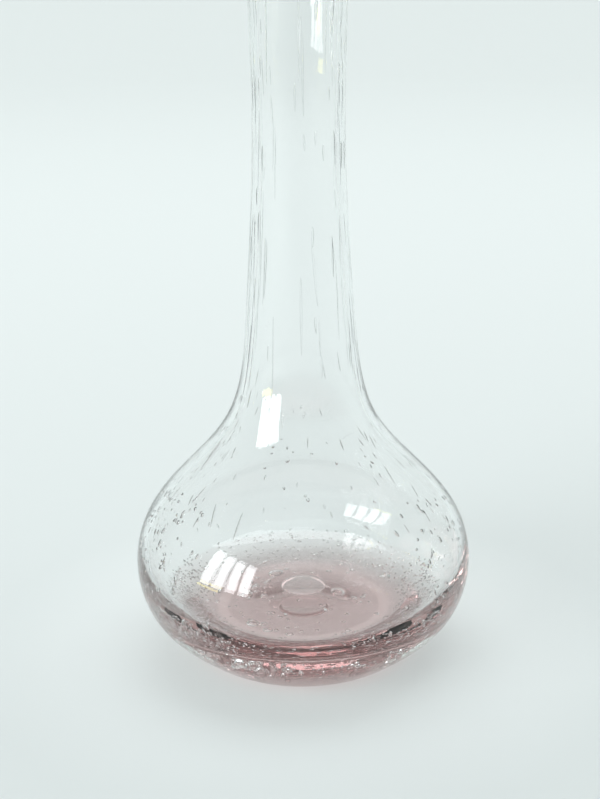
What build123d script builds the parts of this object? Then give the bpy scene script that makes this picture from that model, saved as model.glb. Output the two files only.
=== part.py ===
"""A hand blown bubble-glass vase: a squat round bulb that draws up into a long slim neck.

It is built the way a glassblower builds it, as gathers laid one over another: a clear lining
blown first, a cup of amethyst glass round its bottom, a clear casing over both, and the button
of glass that the punty leaves under the base. Each gather is its own solid, and meets its
neighbours face to face. The small air bubbles between the gathers aren't hollowed out.

Millimetres, +Z up. The origin is the middle of the resting ring, on the table.
"""

from build123d import *
import os

os.makedirs("parts", exist_ok=True)

# --- overall form ---------------------------------------------------------------------------
HEIGHT = 250.0  # table to the top of the lip
BELLY_RADIUS = 50.0  # the bulb at its widest
BELLY_HEIGHT = 28.0  # where it is widest
NECK_RADIUS = 12.9  # the neck at its slimmest
NECK_HEIGHT = 165.0  # where it is slimmest
MOUTH_RADIUS = 15.6  # the neck flares a little and stands upright at the mouth
THROAT_RADIUS = 10.7  # the straight bore through the slimmest stretch of the neck
THROAT_LENGTH = 30.0

# --- base: a thick round floor with a shallow hollow pushed up under it ----------------------
REST_RADIUS = 27.0  # outer edge of the flat resting ring
KICK_RADIUS = 23.0  # mouth of the hollow
KICK_HEIGHT = 1.3  # top of the hollow
KICK_FLAT_RADIUS = 7.2  # the flat at its top, where the punty was stuck
SEAL_RADIUS = 6.6  # the fire-polished button that the punty left on that flat
SEAL_DROP = 0.6  # how far the button stands down from it
HEEL = (37.2, 5.2)  # where the underside turns up into the bulb
FLOOR_CROWN_HEIGHT = 18.6  # inner floor on the axis
FLOOR_TROUGH_RADIUS = 30.0  # ring round the crown where the inner floor is lowest
FLOOR_TROUGH_HEIGHT = 15.2

# --- gathers --------------------------------------------------------------------------------
CASING_SHARE = 0.4  # the casing's share of the wall's thickness
CASING_FLOOR = 0.8  # the casing under the amethyst
AMETHYST_CROWN = 13.6  # amethyst on the axis
AMETHYST_TROUGH = 12.0  # amethyst over the resting ring
AMETHYST_EDGE = 2.3  # its blunt upper edge in the wall of the bulb
THROAT_SEAM_RADIUS = 11.8  # where the casing meets the lining along the throat

# The wall from the top of the base to the mouth: radius and height of its outside, and its thickness.
LIP_WALL = 2.2
WALL_STATIONS = [
    (45.9, 14.0, 6.5),  # lower bulb, where the amethyst ends
    (BELLY_RADIUS, BELLY_HEIGHT, 3.3),
    (47.4, 41.0, 2.7),  # upper bulb
    (36.0, 56.2, 2.5),  # shoulder
    (21.7, 74.0, 2.4),  # root of the neck
    (15.7, 103.0, 2.3),  # lower neck
    (NECK_RADIUS, NECK_HEIGHT, LIP_WALL),
    (MOUTH_RADIUS, HEIGHT - LIP_WALL / 2, LIP_WALL),
]
LOWER_BULB, NECK, MOUTH = 0, 6, 7

# --- outlines: x is the radius and y the height ---------------------------------------------
OUTWARD = (1, 0)
UPRIGHT = (0, 1)
UNIT_SPEED = [1, 1]  # keeps the end tangents as long as the outline runs


def outline(points, start=OUTWARD, end=UPRIGHT):
    """A smooth curve through the points, with its directions at both ends."""
    return Spline(points, tangents=[start, end], tangent_scalars=UNIT_SPEED)


def beside(curve, share, distance):
    """The point a distance to the left of a curve, square to it at a share of its run."""
    tangent = curve % share
    return curve @ share + Vector(-tangent.Y, tangent.X) * distance


outside = outline([(REST_RADIUS, 0), HEEL] + [station[:2] for station in WALL_STATIONS])


def from_outside(point, depth):
    """The point at a depth in the glass, square to the outside at one of its points."""
    return beside(outside, outside.param_at_point(point), depth)


def in_wall(station, share):
    """The point a share of the way through the wall from the outside of a station."""
    radius, height, thickness = WALL_STATIONS[station]
    return from_outside((radius, height), thickness * share)


bulb_to_neck = range(LOWER_BULB, NECK)
mouth_centre = in_wall(MOUTH, 0.5)
lip_top = mouth_centre + (outside % 1) * LIP_WALL / 2
mouth_inner = in_wall(MOUTH, 1)
throat_bottom = NECK_HEIGHT - THROAT_LENGTH / 2
throat_top = NECK_HEIGHT + THROAT_LENGTH / 2

# the hollow under the base, from its flat top out to the resting ring
kick = outline([(KICK_FLAT_RADIUS, KICK_HEIGHT), (KICK_RADIUS, 0)], end=OUTWARD)

# the inside of the vase, from the crown of its floor to the throat, and from there to the mouth
inside = outline(
    [(0, FLOOR_CROWN_HEIGHT), (FLOOR_TROUGH_RADIUS, FLOOR_TROUGH_HEIGHT)]
    + [in_wall(station, 1) for station in bulb_to_neck]
    + [(THROAT_RADIUS, throat_bottom)]
)
inside_mouth = outline([(THROAT_RADIUS, throat_top), mouth_inner], start=UPRIGHT)

# the casing's inner face, from the axis to the throat, and from there to the top of the lip
casing_seam = outline(
    [
        (0, KICK_HEIGHT + CASING_FLOOR),
        beside(kick, 0.5, CASING_FLOOR),
        (REST_RADIUS, CASING_FLOOR),
        from_outside(HEEL, CASING_FLOOR),
    ]
    + [in_wall(station, CASING_SHARE) for station in bulb_to_neck]
    + [(THROAT_SEAM_RADIUS, throat_bottom)]
)
casing_seam_mouth = outline([(THROAT_SEAM_RADIUS, throat_top), lip_top], start=UPRIGHT)

# the amethyst's upper face, from the axis to a blunt edge that stands on the casing seam
edge_foot = in_wall(LOWER_BULB, CASING_SHARE)
edge_share = casing_seam.param_at_point(edge_foot)
edge_top = beside(casing_seam, edge_share, AMETHYST_EDGE)
amethyst_top = outline(
    [
        (0, KICK_HEIGHT + CASING_FLOOR + AMETHYST_CROWN),
        (REST_RADIUS, CASING_FLOOR + AMETHYST_TROUGH),
        edge_top,
    ],
    end=casing_seam % edge_share,
)


def lip_arc(start, end, turn):
    """A quarter of the round lip, bulging to the side that the turn from its top gives."""
    bulge = mouth_centre + (lip_top - mouth_centre).rotate(Axis.Z, turn)
    return ThreePointArc(start, bulge, end)


# --- the clear casing: outside, resting ring, hollow underside, outer half of the lip --------
with BuildPart() as clear_casing:
    with BuildSketch(Plane.XZ):
        with BuildLine():
            add(outside)
            lip_arc(outside @ 1, lip_top, -45)
            add(casing_seam_mouth)
            Line(casing_seam_mouth @ 0, casing_seam @ 1)
            add(casing_seam)
            Polyline(casing_seam @ 0, (0, KICK_HEIGHT), (KICK_FLAT_RADIUS, KICK_HEIGHT))
            add(kick)
            Line(kick @ 1, (REST_RADIUS, 0))
        make_face()
    revolve(axis=Axis.Z)

# --- the amethyst cup, closed in between the casing and the lining --------------------------
with BuildPart() as amethyst_cup:
    with BuildSketch(Plane.XZ):
        with BuildLine():
            add(casing_seam.trim(0, edge_share))
            Line(edge_foot, edge_top)
            add(amethyst_top)
            Line(amethyst_top @ 0, casing_seam @ 0)
        make_face()
    revolve(axis=Axis.Z)

# --- the clear lining: inner floor, inside of the bulb and neck, inner half of the lip -------
with BuildPart() as clear_lining:
    with BuildSketch(Plane.XZ):
        with BuildLine():
            add(amethyst_top)
            Line(edge_top, edge_foot)
            add(casing_seam.trim(edge_share, 1))
            Line(casing_seam @ 1, casing_seam_mouth @ 0)
            add(casing_seam_mouth)
            lip_arc(lip_top, mouth_inner, 45)
            add(inside_mouth)
            Line(inside_mouth @ 0, inside @ 1)
            add(inside)
            Line(inside @ 0, amethyst_top @ 0)
        make_face()
    revolve(axis=Axis.Z)

# --- the button of clear glass that the punty left in the hollow under the base --------------
with BuildPart() as punty_seal:
    with BuildSketch(Plane.XZ):
        with BuildLine():
            Polyline((0, KICK_HEIGHT - SEAL_DROP), (0, KICK_HEIGHT), (SEAL_RADIUS, KICK_HEIGHT))
            TangentArc((0, KICK_HEIGHT - SEAL_DROP), (SEAL_RADIUS, KICK_HEIGHT), tangent=OUTWARD)
        make_face()
    revolve(axis=Axis.Z)

pieces = {
    "clear_casing": clear_casing,
    "amethyst_cup": amethyst_cup,
    "clear_lining": clear_lining,
    "punty_seal": punty_seal,
}
for name, piece in pieces.items():
    piece.part.label = name
    export_step(piece.part, f"parts/{name}.step")
    print(name, len(piece.part.solids()), round(piece.part.volume, 1))
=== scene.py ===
"""The looks of a hand blown bubble-glass vase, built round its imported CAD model. Metres, +Z up."""

import math

import bmesh
import bpy
import numpy as np
from mathutils import Matrix, Vector


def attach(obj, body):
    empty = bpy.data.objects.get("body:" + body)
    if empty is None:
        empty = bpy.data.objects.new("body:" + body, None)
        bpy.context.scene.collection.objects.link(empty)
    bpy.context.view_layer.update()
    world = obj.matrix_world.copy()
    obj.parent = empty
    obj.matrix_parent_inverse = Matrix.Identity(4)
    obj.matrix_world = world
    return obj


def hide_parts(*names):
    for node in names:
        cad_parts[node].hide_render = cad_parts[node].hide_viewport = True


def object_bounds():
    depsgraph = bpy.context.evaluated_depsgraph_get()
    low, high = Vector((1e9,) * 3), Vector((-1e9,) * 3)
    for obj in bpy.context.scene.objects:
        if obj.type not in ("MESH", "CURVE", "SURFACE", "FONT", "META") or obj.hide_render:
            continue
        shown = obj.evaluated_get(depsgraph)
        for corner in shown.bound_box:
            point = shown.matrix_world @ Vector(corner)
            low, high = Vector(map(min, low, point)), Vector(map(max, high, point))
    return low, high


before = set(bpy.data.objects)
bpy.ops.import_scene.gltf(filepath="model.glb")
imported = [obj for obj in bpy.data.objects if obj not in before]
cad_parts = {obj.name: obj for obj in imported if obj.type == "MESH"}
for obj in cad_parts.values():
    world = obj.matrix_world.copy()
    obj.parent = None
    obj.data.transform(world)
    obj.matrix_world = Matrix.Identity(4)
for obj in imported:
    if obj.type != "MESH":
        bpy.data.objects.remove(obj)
cad_low, cad_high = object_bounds()

MM = 0.001
GLASS_IOR = 1.5
FUSED_IOR = 1.0  # for colour inside the glass, which has no face of its own to bend light

# --- the vase's measures, in millimetres, as in the CAD model -------------------------------
# A wall station is the radius and height of the outside, and the wall's thickness there.
HEIGHT = cad_high.z / MM
BELLY_RADIUS = 50.0
THROAT_RADIUS, THROAT_SEAM_RADIUS, THROAT_BOTTOM, THROAT_TOP = 10.7, 11.8, 150.0, 180.0
REST_RADIUS = 27.0
KICK_RADIUS, KICK_HEIGHT, KICK_FLAT_RADIUS = 23.0, 1.3, 7.2
SEAL_RADIUS, SEAL_DROP = 6.6, 0.6
HEEL = (37.2, 5.2)
FLOOR_CROWN_HEIGHT, FLOOR_TROUGH_RADIUS, FLOOR_TROUGH_HEIGHT = 18.6, 30.0, 15.2
CASING_SHARE, CASING_FLOOR = 0.4, 0.8
AMETHYST_CROWN, AMETHYST_TROUGH, AMETHYST_EDGE = 13.6, 12.0, 2.3
LIP_WALL = 2.2
WALL_STATIONS = [
    (45.9, 14.0, 6.5),
    (BELLY_RADIUS, 28.0, 3.3),
    (47.4, 41.0, 2.7),
    (36.0, 56.2, 2.5),
    (21.7, 74.0, 2.4),
    (15.7, 103.0, 2.3),
    (12.9, 165.0, LIP_WALL),
    (15.6, HEIGHT - LIP_WALL / 2, LIP_WALL),
]
LOWER_BULB, NECK, MOUTH = 0, 6, 7
OUTWARD, UPRIGHT = (1.0, 0.0), (0.0, 1.0)


# --- outlines -------------------------------------------------------------------------------
class Outline:
    """A smooth curve through points (radius, height).

    Distances along it are those of the straight steps between the points.
    """

    def __init__(self, points, start=OUTWARD, end=UPRIGHT):
        self.points = np.array([tuple(p) for p in points], float)
        steps = np.linalg.norm(np.diff(self.points, axis=0), axis=1)
        self.at = np.concatenate([[0], np.cumsum(steps)])
        self.slopes = self._slopes(steps, np.array(start, float), np.array(end, float))

    def _slopes(self, h, start, end):
        """The slope at each point that lets the cubic pieces join with no jump in their bend."""
        n = len(self.points)
        a, b = np.zeros((n, n)), np.zeros((n, 2))
        a[0, 0] = a[-1, -1] = 1
        b[0], b[-1] = start / np.linalg.norm(start), end / np.linalg.norm(end)
        for i in range(1, n - 1):
            a[i, i - 1], a[i, i], a[i, i + 1] = h[i], 2 * (h[i - 1] + h[i]), h[i - 1]
            rise = (self.points[i] - self.points[i - 1]) / h[i - 1] * h[i]
            b[i] = 3 * (rise + (self.points[i + 1] - self.points[i]) / h[i] * h[i - 1])
        return np.linalg.solve(a, b)

    def sample(self, t):
        """Points and unit directions at distances t along the outline."""
        t = np.clip(np.asarray(t, float), 0, self.at[-1])
        i = np.clip(np.searchsorted(self.at, t, side="right") - 1, 0, len(self.points) - 2)
        h = (self.at[i + 1] - self.at[i])[..., None]
        u = ((t - self.at[i])[..., None]) / h
        p, q = self.points[i], self.points[i + 1]
        m, n = self.slopes[i] * h, self.slopes[i + 1] * h
        place = (2 * u**3 - 3 * u**2 + 1) * p + (u**3 - 2 * u**2 + u) * m
        place += (3 * u**2 - 2 * u**3) * q + (u**3 - u**2) * n
        way = (6 * u**2 - 6 * u) * (p - q) + (3 * u**2 - 4 * u + 1) * m + (3 * u**2 - 2 * u) * n
        return place, way / np.linalg.norm(way, axis=-1, keepdims=True)

    def beside(self, t, distance):
        """The points a distance to the left of the outline at distances t along it."""
        place, way = self.sample(t)
        left = np.stack([-way[..., 1], way[..., 0]], -1)
        return place + left * np.asarray(distance, float)[..., None]

    def run(self, count, end=1.0):
        """Evenly spaced points from its start to a share of its run."""
        return self.sample(np.linspace(0, end, count) * self.at[-1])[0]

    def distance_at_height(self, height, steps=800):
        """How far along a rising outline a height is reached."""
        along = np.linspace(0, self.at[-1], steps)
        return np.interp(height, self.sample(along)[0][:, 1], along)


outside = Outline([(REST_RADIUS, 0), HEEL] + [station[:2] for station in WALL_STATIONS])
HEEL_AT = outside.at[1]
STATION_AT = outside.at[2:]


def in_wall(station, share):
    """The point a share of the way through the wall from the outside of a station."""
    return outside.beside(STATION_AT[station], WALL_STATIONS[station][2] * share)


bulb_to_neck = range(LOWER_BULB, NECK)
kick = Outline([(KICK_FLAT_RADIUS, KICK_HEIGHT), (KICK_RADIUS, 0)], end=OUTWARD)
inside = Outline(
    [(0, FLOOR_CROWN_HEIGHT), (FLOOR_TROUGH_RADIUS, FLOOR_TROUGH_HEIGHT)]
    + [in_wall(station, 1) for station in bulb_to_neck]
    + [(THROAT_RADIUS, THROAT_BOTTOM)]
)
inside_mouth = Outline([(THROAT_RADIUS, THROAT_TOP), in_wall(MOUTH, 1)], start=UPRIGHT)
casing_seam = Outline(
    [
        (0, KICK_HEIGHT + CASING_FLOOR),
        kick.beside(0.5 * kick.at[-1], CASING_FLOOR),
        (REST_RADIUS, CASING_FLOOR),
        outside.beside(HEEL_AT, CASING_FLOOR),
    ]
    + [in_wall(station, CASING_SHARE) for station in bulb_to_neck]
    + [(THROAT_SEAM_RADIUS, THROAT_BOTTOM)]
)
AMETHYST_EDGE_AT = casing_seam.at[4]  # where the seam passes the lower bulb's station
amethyst_top = Outline(
    [
        (0, KICK_HEIGHT + CASING_FLOOR + AMETHYST_CROWN),
        (REST_RADIUS, CASING_FLOOR + AMETHYST_TROUGH),
        casing_seam.beside(AMETHYST_EDGE_AT, AMETHYST_EDGE),
    ],
    end=casing_seam.sample(AMETHYST_EDGE_AT)[1],
)


# --- meshes ---------------------------------------------------------------------------------
def new_mesh(name, vertices, faces):
    """A smooth shaded mesh object."""
    mesh = bpy.data.meshes.new(name)
    mesh.from_pydata([tuple(v) for v in vertices], [], faces)
    mesh.update()
    mesh.shade_smooth()
    piece = bpy.data.objects.new(name, mesh)
    bpy.context.scene.collection.objects.link(piece)
    return piece


def lathe(name, section, turns, wobble=None):
    """A surface turned from a section (radius, height) that begins on the axis.

    It is closed where the section ends on the axis too, and open at the rim where it doesn't.
    """
    angle = np.arange(turns) * 2 * math.pi / turns
    closed = section[-1][0] == 0
    rings = section[1:-1] if closed else section[1:]
    radius = np.repeat(rings[:, :1], turns, 1)
    height = np.repeat(rings[:, 1:], turns, 1)
    if wobble:
        radius = radius + wobble(radius, height, angle[None, :])
    points = np.stack([radius * np.cos(angle), radius * np.sin(angle), height], -1).reshape(-1, 3)
    ends = np.array([[0, 0, section[0][1]], [0, 0, section[-1][1]]])
    first, last = len(points), len(points) + 1
    faces = []
    for ring in range(len(rings) - 1):
        for k in range(turns):
            a, b = ring * turns + k, ring * turns + (k + 1) % turns
            faces.append((a, b, b + turns, a + turns))
    top = (len(rings) - 1) * turns
    for k in range(turns):
        after = (k + 1) % turns
        faces.append((first, after, k))
        if closed:
            faces.append((last, top + k, top + after))
    return new_mesh(name, np.concatenate([points, ends if closed else ends[:1]]) * MM, faces)


WOBBLE = [
    # (how far it swells, swells in a turn, start, how far it twists from base to mouth)
    (0.10, 2, 0.7, 3),
    (0.06, 3, 0, 9),
    (0.035, 5, 0, 21),
    (0.03, 7, 1, -33),
]
WOBBLE_HEIGHT, WOBBLE_RADIUS = 20.0, 10.0  # it reaches its full size above and outside these


def blown_wobble(radius, height, angle):
    """The slight swell and ripple of hand blown glass, none of it at the resting ring."""
    share = np.clip(height / HEIGHT, 0, 1)
    grow = np.clip(height / WOBBLE_HEIGHT, 0, 1) * np.clip(radius / WOBBLE_RADIUS, 0, 1)
    return grow * sum(size * np.sin(n * angle + start + twist * share) for size, n, start, twist in WOBBLE)


# Points along each stretch of the section. The lip's count takes in the two that it shares with
# its neighbours, which are left out.
SEAL_STEPS, KICK_STEPS, OUTSIDE_STEPS, LIP_STEPS, MOUTH_STEPS, INSIDE_STEPS = 9, 24, 230, 13, 30, 190
RING_SHARES = (0.33, 0.67)  # two more points across the flat resting ring


def arc(turns, width, height):
    """Points of a round or oval arc about the origin, at turns from its outermost point."""
    return np.stack([width * np.cos(turns), height * np.sin(turns)], -1)


def glass_section():
    """The section of all the glass, from under the base out, up, over the lip and down inside."""
    seal = arc(np.linspace(-math.pi / 2, 0, SEAL_STEPS), SEAL_RADIUS, SEAL_DROP) + (0, KICK_HEIGHT)
    ring = [(KICK_RADIUS + (REST_RADIUS - KICK_RADIUS) * share, 0) for share in RING_SHARES]
    lip_turns = np.linspace(0, math.pi, LIP_STEPS)[1:-1]
    lip = in_wall(MOUTH, 0.5) + arc(lip_turns, LIP_WALL / 2, LIP_WALL / 2)
    down = [inside_mouth.run(MOUTH_STEPS)[::-1], inside.run(INSIDE_STEPS)[::-1]]
    return np.concatenate([seal, kick.run(KICK_STEPS), ring, outside.run(OUTSIDE_STEPS), lip] + down)


# --- materials ------------------------------------------------------------------------------
def material(name):
    """A new node material, its node tree and its output node."""
    made = bpy.data.materials.new(name)
    made.use_nodes = True
    tree = made.node_tree
    tree.nodes.clear()
    return made, tree, tree.nodes.new("ShaderNodeOutputMaterial")


def bump(tree, *layers):
    """Bump from noise layers of (scale, stretch, strength, distance), as a normal output."""
    place = tree.nodes.new("ShaderNodeTexCoord").outputs["Object"]
    normal = None
    for scale, stretch, strength, distance in layers:
        mapping = tree.nodes.new("ShaderNodeMapping")
        mapping.inputs["Scale"].default_value = stretch
        tree.links.new(place, mapping.inputs["Vector"])
        noise = tree.nodes.new("ShaderNodeTexNoise")
        noise.inputs["Scale"].default_value = scale
        noise.inputs["Detail"].default_value = 2
        tree.links.new(mapping.outputs["Vector"], noise.inputs["Vector"])
        node = tree.nodes.new("ShaderNodeBump")
        node.inputs["Strength"].default_value = strength
        node.inputs["Distance"].default_value = distance
        tree.links.new(noise.outputs["Fac"], node.inputs["Height"])
        if normal:
            tree.links.new(normal, node.inputs["Normal"])
        normal = node.outputs["Normal"]
    return normal


def glass(name, ior, depth_colour, density, layers=()):
    """Clear or coloured glass: what it bends comes from its IOR, and its colour from its depth."""
    made, tree, out = material(name)
    shader = tree.nodes.new("ShaderNodeBsdfPrincipled")
    shader.inputs["Base Color"].default_value = (1, 1, 1, 1)
    shader.inputs["Roughness"].default_value = 0.0
    shader.inputs["IOR"].default_value = ior
    shader.inputs["Transmission Weight"].default_value = 1.0
    if layers:
        tree.links.new(bump(tree, *layers), shader.inputs["Normal"])
    depth = tree.nodes.new("ShaderNodeVolumeAbsorption")
    depth.inputs["Color"].default_value = depth_colour
    depth.inputs["Density"].default_value = density
    tree.links.new(shader.outputs["BSDF"], out.inputs["Surface"])
    tree.links.new(depth.outputs["Volume"], out.inputs["Volume"])
    return made


def clear_glass():
    """Fire-polished clear glass with faint draw lines and a trace of green-grey in its depth."""
    draw_lines = (60, (1, 1, 0.25), 0.10, 0.0006)
    fine_lines = (260, (1, 1, 0.12), 0.05, 0.0002)
    return glass("clear_glass", GLASS_IOR, (0.80, 0.92, 0.88, 1), 12.0, (draw_lines, fine_lines))


def amethyst_glass():
    """Coloured glass fused into the clear: it bends no light of its own, it only takes some away."""
    return glass("amethyst_glass", FUSED_IOR, (0.625, 0.32, 0.325, 1), 36.0)


def trapped_air():
    """Air inside glass: the same bend the other way."""
    made, tree, out = material("trapped_air")
    shader = tree.nodes.new("ShaderNodeBsdfGlass")
    shader.inputs["Roughness"].default_value = 0.0
    shader.inputs["IOR"].default_value = 1 / GLASS_IOR
    tree.links.new(shader.outputs["BSDF"], out.inputs["Surface"])
    return made


# --- bubbles, in millimetres ----------------------------------------------------------------
BUBBLE_SEED = 412
ROUND_BALL, PLAIN_BALL = 3, 2  # subdivision levels, of which level 1 is a bare icosahedron
TAPER = 0.25  # the share by which a bubble in the wall widens towards its top and narrows below
HEEL_WALL = 9.0  # the depth of glass that counts as wall at the heel, where the base is solid

SIDE_SHARE = 0.65  # the share of the wall's bubbles that gather at its left and right
SIDE_TURNS = (200, 200, -15)  # degrees: two to the left for each one to the right
SIDE_SPREAD = 0.4  # radians

WALL_BUBBLES = [
    # (piece, ball, count, heights, shares of the wall, lean, half lengths, half widths, flatness)
    ("neck_streaks", ROUND_BALL, 130, (80, 244), (0.35, 0.65), 0.03, (2, 14), (0.13, 0.4), (0.2, 0.5)),
    ("shoulder_streaks", ROUND_BALL, 110, (50, 84), (0.3, 0.7), 0.14, (0.5, 4.0), (0.11, 0.26), (0.5, 0.8)),
    ("bulb_seeds", ROUND_BALL, 260, (19, 54), (0.25, 0.75), 0.5, (0.4, 1.3), (0.2, 0.55), (0.5, 0.8)),
    ("heel_seeds", PLAIN_BALL, 1900, (2.5, 15.0), (0.08, 0.85), 0.8, (0.25, 0.9), (0.22, 0.55), (0.5, 0.8)),
]
BLISTER = (0.0, 0.0, 1.2, 6.8, 0.5)  # a flat one on the axis, measured as those below
FLOOR_BUBBLES = [
    # (radius, turn in degrees, depth under the floor, half width, half height)
    (15.0, 125, 3.0, 2.6, 2.5),
    (18.5, 158, 2.4, 1.7, 1.4),
    (15.0, 171, 2.2, 1.3, 1.2),
    (17.5, 186, 2.6, 2.0, 1.8),
    (13.0, 202, 2.0, 1.2, 1.0),
    (11.0, -12, 2.8, 2.4, 2.2),
    (16.5, -20, 2.0, 1.1, 0.9),
    (26.5, -125, 2.4, 2.2, 1.8),
    (25.5, -118, 1.8, 1.2, 0.9),
    (28.5, -112, 2.4, 1.6, 0.9),
    (30.0, -98, 1.8, 1.3, 0.7),
    (31.0, -65, 1.6, 1.0, 0.6),
]
# Others at random: the spread ones anywhere on the floor, the cluster left of its middle.
SPREAD_COUNT, SPREAD_RADIUS, SPREAD_DEPTHS, SPREAD_HALVES = 85, 34, (1.2, 4.0), (0.35, 0.9)
CLUSTER_COUNT, CLUSTER_DEPTHS, CLUSTER_HALVES = 26, (1.5, 4.0), (0.3, 0.95)
CLUSTER_RADIUS, CLUSTER_TURN = (16, 3.5), (168, 17)  # each a mean and a standard deviation
FLOOR_ROUNDNESS = (0.7, 1.0)  # half height over half width


def unit_ball(detail):
    """Vertices and triangles of a ball of radius 1."""
    ball = bpy.data.meshes.new("ball")
    shape = bmesh.new()
    bmesh.ops.create_icosphere(shape, subdivisions=detail, radius=1.0)
    shape.to_mesh(ball)
    shape.free()
    points = np.array([v.co for v in ball.vertices], float)
    triangles = np.array([tuple(p.vertices) for p in ball.polygons])
    bpy.data.meshes.remove(ball)
    return points, triangles


def wall_at(distance):
    """Wall thickness at a distance along the outside."""
    walls = [HEEL_WALL] + [station[2] for station in WALL_STATIONS]
    return np.interp(distance, outside.at[1:], walls)


def wall_bubble(ball, distance, share, turn, lean, half_length, half_width, half_depth):
    """A drawn-out bubble that follows the wall, a share of the way in from the outside."""
    along = ball[:, 2] * half_length
    across = ball[:, 0] * half_width * (1 + TAPER * ball[:, 2])
    run = distance + along * math.cos(lean) - across * math.sin(lean)
    aside = along * math.sin(lean) + across * math.cos(lean)
    section = outside.beside(run, wall_at(run) * share + ball[:, 1] * half_depth)
    angle = turn + aside / section[:, 0]
    return np.stack([section[:, 0] * np.cos(angle), section[:, 0] * np.sin(angle), section[:, 1]], -1)


def wall_bubbles(rng, ball, count, heights, shares, lean, lengths, widths, flatness):
    """Bubbles at random places in the wall between two heights, most of them to either side."""
    reach = [outside.distance_at_height(height) for height in heights]
    made = []
    for _ in range(count):
        distance = rng.uniform(*reach)
        turn = rng.uniform(0, 2 * math.pi)
        if rng.random() < SIDE_SHARE:
            turn = rng.normal(math.radians(rng.choice(SIDE_TURNS)), SIDE_SPREAD)
        half_length = lengths[0] + (lengths[1] - lengths[0]) * rng.random() ** 2
        half_width = rng.uniform(*widths)
        half_depth = half_width * rng.uniform(*flatness)
        share, tilt = rng.uniform(*shares), rng.normal(0, lean)
        made.append(wall_bubble(ball, distance, share, turn, tilt, half_length, half_width, half_depth))
    return made


def floor_bubble(ball, radius, turn, depth, half_width, half_height):
    """A round or flattened bubble a depth under the inner floor."""
    steps, outward = 200, 60  # points along the inside, and how many of them all lead outwards
    reached = inside.run(steps)[:outward, 0]
    distance = np.interp(radius, reached, np.linspace(0, inside.at[-1], steps)[:outward])
    section = inside.beside(distance, -depth)
    centre = (section[0] * math.cos(turn), section[0] * math.sin(turn), section[1])
    return centre + ball * (half_width, half_width, half_height)


def floor_bubbles(rng, ball):
    """The placed bubbles, others all over the floor, a cluster, and the blister on the axis."""
    made = [floor_bubble(ball, r, math.radians(turn), *rest) for r, turn, *rest in FLOOR_BUBBLES]
    for _ in range(SPREAD_COUNT):
        half = rng.uniform(*SPREAD_HALVES)
        radius = SPREAD_RADIUS * math.sqrt(rng.random())
        place = (radius, rng.uniform(0, 2 * math.pi), rng.uniform(*SPREAD_DEPTHS))
        made.append(floor_bubble(ball, *place, half, half * rng.uniform(*FLOOR_ROUNDNESS)))
    for _ in range(CLUSTER_COUNT):
        half = rng.uniform(*CLUSTER_HALVES)
        radius, turn = rng.normal(*CLUSTER_RADIUS), math.radians(rng.normal(*CLUSTER_TURN))
        depth = rng.uniform(*CLUSTER_DEPTHS)
        made.append(floor_bubble(ball, radius, turn, depth, half, half * rng.uniform(*FLOOR_ROUNDNESS)))
    return made + [floor_bubble(ball, *BLISTER)]


def air_piece(name, shapes, triangles, air):
    """One piece of many separate closed bubbles."""
    count = len(shapes[0])
    faces = np.concatenate([triangles + k * count for k in range(len(shapes))])
    piece = new_mesh(name, np.concatenate(shapes) * MM, faces.tolist())
    piece.data.materials.append(air)
    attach(piece, "root")


def all_bubbles():
    """The air caught between the gathers: drawn out in the neck, round and dense in the base."""
    rng = np.random.default_rng(BUBBLE_SEED)
    air = trapped_air()
    balls = {detail: unit_ball(detail) for detail in (ROUND_BALL, PLAIN_BALL)}
    for name, detail, *rule in WALL_BUBBLES:
        ball, triangles = balls[detail]
        air_piece(name, wall_bubbles(rng, ball, *rule), triangles, air)
    ball, triangles = balls[ROUND_BALL]
    air_piece("floor_bubbles", floor_bubbles(rng, ball), triangles, air)


# --- the vase -------------------------------------------------------------------------------
VASE_TURNS, CUP_TURNS = 176, 128
SEAM_STEPS, TOP_STEPS = 80, 70  # along the cup's underside and its top

all_bubbles()

vase = lathe("blown_glass", glass_section(), VASE_TURNS, blown_wobble)
vase.data.materials.append(clear_glass())
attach(vase, "root")
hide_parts("clear_casing", "clear_lining", "punty_seal")

underside = casing_seam.run(SEAM_STEPS, AMETHYST_EDGE_AT / casing_seam.at[-1])
cup_section = np.concatenate([underside, amethyst_top.run(TOP_STEPS)[::-1]])
cup = lathe("amethyst_gather", cup_section, CUP_TURNS)
cup.data.materials.append(amethyst_glass())
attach(cup, "root")
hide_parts("amethyst_cup")


# --- backdrop, lights and camera ------------------------------------------------------------
BOWL_LEVEL, BOWL_CURVE, BOWL_TOP = 1300.0, 500.0, 2400.0  # millimetres
BOWL_TURNS, COVE_STEPS = 96, 16

# Painted light: the paper glows though it is no lamp. In metres: from this far in front of the vase
# to this far behind it, and its strength at each, so the glow is brighter behind than in front.
PAINTED_LIGHT_BY_DEPTH = {"From Min": -1.8, "From Max": 0.9, "To Min": 0.05, "To Max": 0.60}
PAINTED_LIGHT_BY_RADIUS = [
    # (distance from the middle of the base, colour): a painted pool of pink light under the base, where a
    # real table would be lit through the amethyst, and painted light brighter near the vase, which lightens
    # its shadow
    (0.026, (1.0, 0.875, 0.863, 1)),
    (0.036, (0.90, 0.94, 0.93, 1)),
    (0.100, (0.675, 0.717, 0.708, 1)),
]
PANES, PANE_WIDTH, PANE_HEIGHT, PANE_GAP, PANE_POWER = 4, 0.20, 0.9, 0.055, 4.6
WINDOW_TURN = math.radians(54)  # seen from the vase, from straight behind the camera to its left
WINDOW_DISTANCE, WINDOW_MIDDLE = 1.5, 0.62
SILL_SIZE, SILL_ASIDE, SILL_DROP, SILL_POWER = (0.45, 0.06), 0.3, 0.05, 0.5
DAYLIGHT, SILL_YELLOW = (0.96, 0.98, 1.0), (1.0, 0.9, 0.2)

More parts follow.
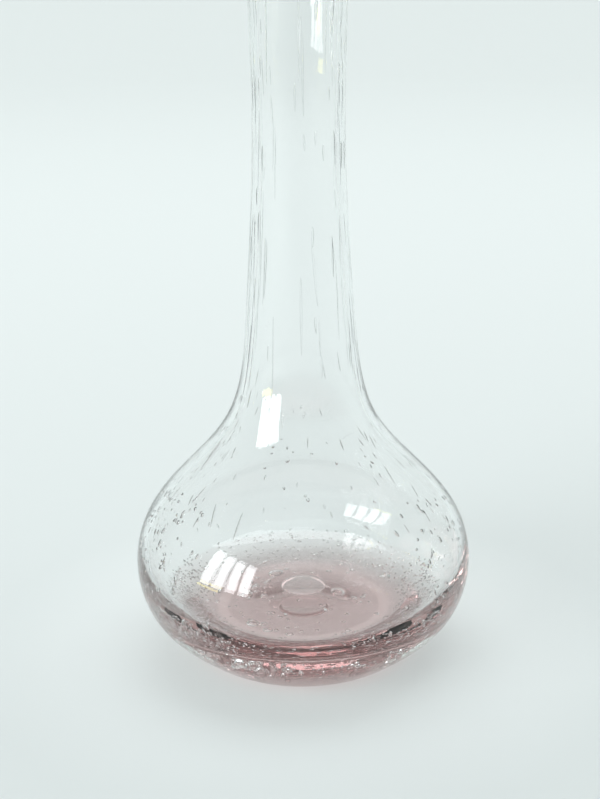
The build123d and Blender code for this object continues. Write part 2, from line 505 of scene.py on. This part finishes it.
# The camera's place in metres, its turns in degrees and its focal length in millimetres.
CAMERA_BACK, CAMERA_UP, CAMERA_ASIDE = 0.4148, 0.2234, -0.0004
CAMERA_DOWN, CAMERA_ROLL = 19.27, -0.59
FOCAL_LENGTH, SENSOR_WIDTH, NEAREST = 67.6, 36.0, 0.01


def backdrop():
    """A pale seamless bowl: level round the vase, and curving up to a wall on all sides."""
    turn = np.linspace(0, math.pi / 2, COVE_STEPS)
    cove = np.stack([BOWL_LEVEL + BOWL_CURVE * np.sin(turn), BOWL_CURVE - BOWL_CURVE * np.cos(turn)], -1)
    section = np.concatenate([[(0, 0)], cove, [(BOWL_LEVEL + BOWL_CURVE, BOWL_TOP)]])
    bowl = lathe("backdrop", section, BOWL_TURNS)
    bowl.data.materials.append(painted_light_paper())


def painted_light_paper():
    """Paper with painted light: it glows though it is no lamp, most near and behind the vase and least in
    front.
    """
    made, tree, out = material("backdrop_paper_painted_light")
    shader = tree.nodes.new("ShaderNodeBsdfPrincipled")
    shader.inputs["Base Color"].default_value = (0.37, 0.395, 0.39, 1)
    shader.inputs["Roughness"].default_value = 0.9
    place = tree.nodes.new("ShaderNodeTexCoord").outputs["Object"]
    axes = tree.nodes.new("ShaderNodeSeparateXYZ")
    tree.links.new(place, axes.inputs["Vector"])
    # painted light: the glow's strength, graded from in front of the vase to behind it
    strength = tree.nodes.new("ShaderNodeMapRange")
    strength.interpolation_type = "SMOOTHSTEP"
    for socket, value in PAINTED_LIGHT_BY_DEPTH.items():
        strength.inputs[socket].default_value = value
    tree.links.new(axes.outputs["Y"], strength.inputs["Value"])
    tree.links.new(strength.outputs["Result"], shader.inputs["Emission Strength"])
    # painted light: pink under the base and brighter round it, by distance from the middle
    reach = tree.nodes.new("ShaderNodeVectorMath")
    reach.operation = "LENGTH"
    tree.links.new(place, reach.inputs[0])
    ramp = tree.nodes.new("ShaderNodeValToRGB")
    stops = ramp.color_ramp.elements
    stops.new(0.5)  # a third stop between the two that a new ramp has
    for stop, (radius, colour) in zip(stops, PAINTED_LIGHT_BY_RADIUS):
        stop.position = radius
        stop.color = colour
    tree.links.new(reach.outputs["Value"], ramp.inputs["Fac"])
    tree.links.new(ramp.outputs["Color"], shader.inputs["Emission Color"])
    tree.links.new(shader.outputs["BSDF"], out.inputs["Surface"])
    return made


def lamp(name, place, aim, size, power, colour=DAYLIGHT):
    """A rectangular area light at a place, facing a point."""
    data = bpy.data.lights.new(name, "AREA")
    data.shape = "RECTANGLE"
    data.size, data.size_y = size
    data.energy = power
    data.color = colour
    light = bpy.data.objects.new(name, data)
    light.location = place
    light.rotation_euler = (Vector(aim) - Vector(place)).to_track_quat("-Z", "Y").to_euler()
    light.visible_camera = False
    bpy.context.scene.collection.objects.link(light)


def window():
    """A window of tall panes behind the camera and to its left, with a yellow glow at its sill."""
    away = Vector((-math.sin(WINDOW_TURN), -math.cos(WINDOW_TURN), 0))
    right = Vector((math.cos(WINDOW_TURN), -math.sin(WINDOW_TURN), 0))
    for pane in range(PANES):
        sideways = (pane - (PANES - 1) / 2) * (PANE_WIDTH + PANE_GAP)
        at = away * WINDOW_DISTANCE + right * sideways + Vector((0, 0, WINDOW_MIDDLE))
        lamp(f"window_pane_{pane}", at, at - away, (PANE_WIDTH, PANE_HEIGHT), PANE_POWER)
    sill = Vector((0, 0, WINDOW_MIDDLE - PANE_HEIGHT / 2 - SILL_DROP))
    at = away * WINDOW_DISTANCE - right * SILL_ASIDE + sill
    lamp("window_sill", at, at - away, SILL_SIZE, SILL_POWER, SILL_YELLOW)


def studio():
    """The even light of a pale room, with a soft lamp overhead."""
    world = bpy.data.worlds.new("studio")
    world.use_nodes = True
    world.node_tree.nodes["Background"].inputs["Color"].default_value = (0.80, 0.88, 0.90, 1)
    world.node_tree.nodes["Background"].inputs["Strength"].default_value = 0.5
    bpy.context.scene.world = world
    lamp("soft_top", (0.1, 0.4, 1.5), (0, 0.15, 0), (1.6, 1.0), 15.0)


def camera():
    """A camera in front of the vase, a little below its mouth, looking down at the bulb."""
    lens = bpy.data.cameras.new("camera")
    lens.lens = FOCAL_LENGTH
    lens.sensor_width = SENSOR_WIDTH
    lens.clip_start = NEAREST
    made = bpy.data.objects.new("camera", lens)
    down = Matrix.Rotation(math.radians(90 - CAMERA_DOWN), 4, "X")
    roll = Matrix.Rotation(math.radians(CAMERA_ROLL), 4, "Z")
    made.matrix_world = Matrix.Translation((CAMERA_ASIDE, -CAMERA_BACK, CAMERA_UP)) @ down @ roll
    bpy.context.scene.collection.objects.link(made)
    bpy.context.scene.camera = made


backdrop()
window()
studio()
camera()

scene = bpy.context.scene
scene.view_settings.view_transform = "Standard"
scene.cycles.max_bounces = 32
scene.cycles.transmission_bounces = 32
scene.cycles.glossy_bounces = 12
scene.cycles.transparent_max_bounces = 32
scene.cycles.volume_bounces = 2
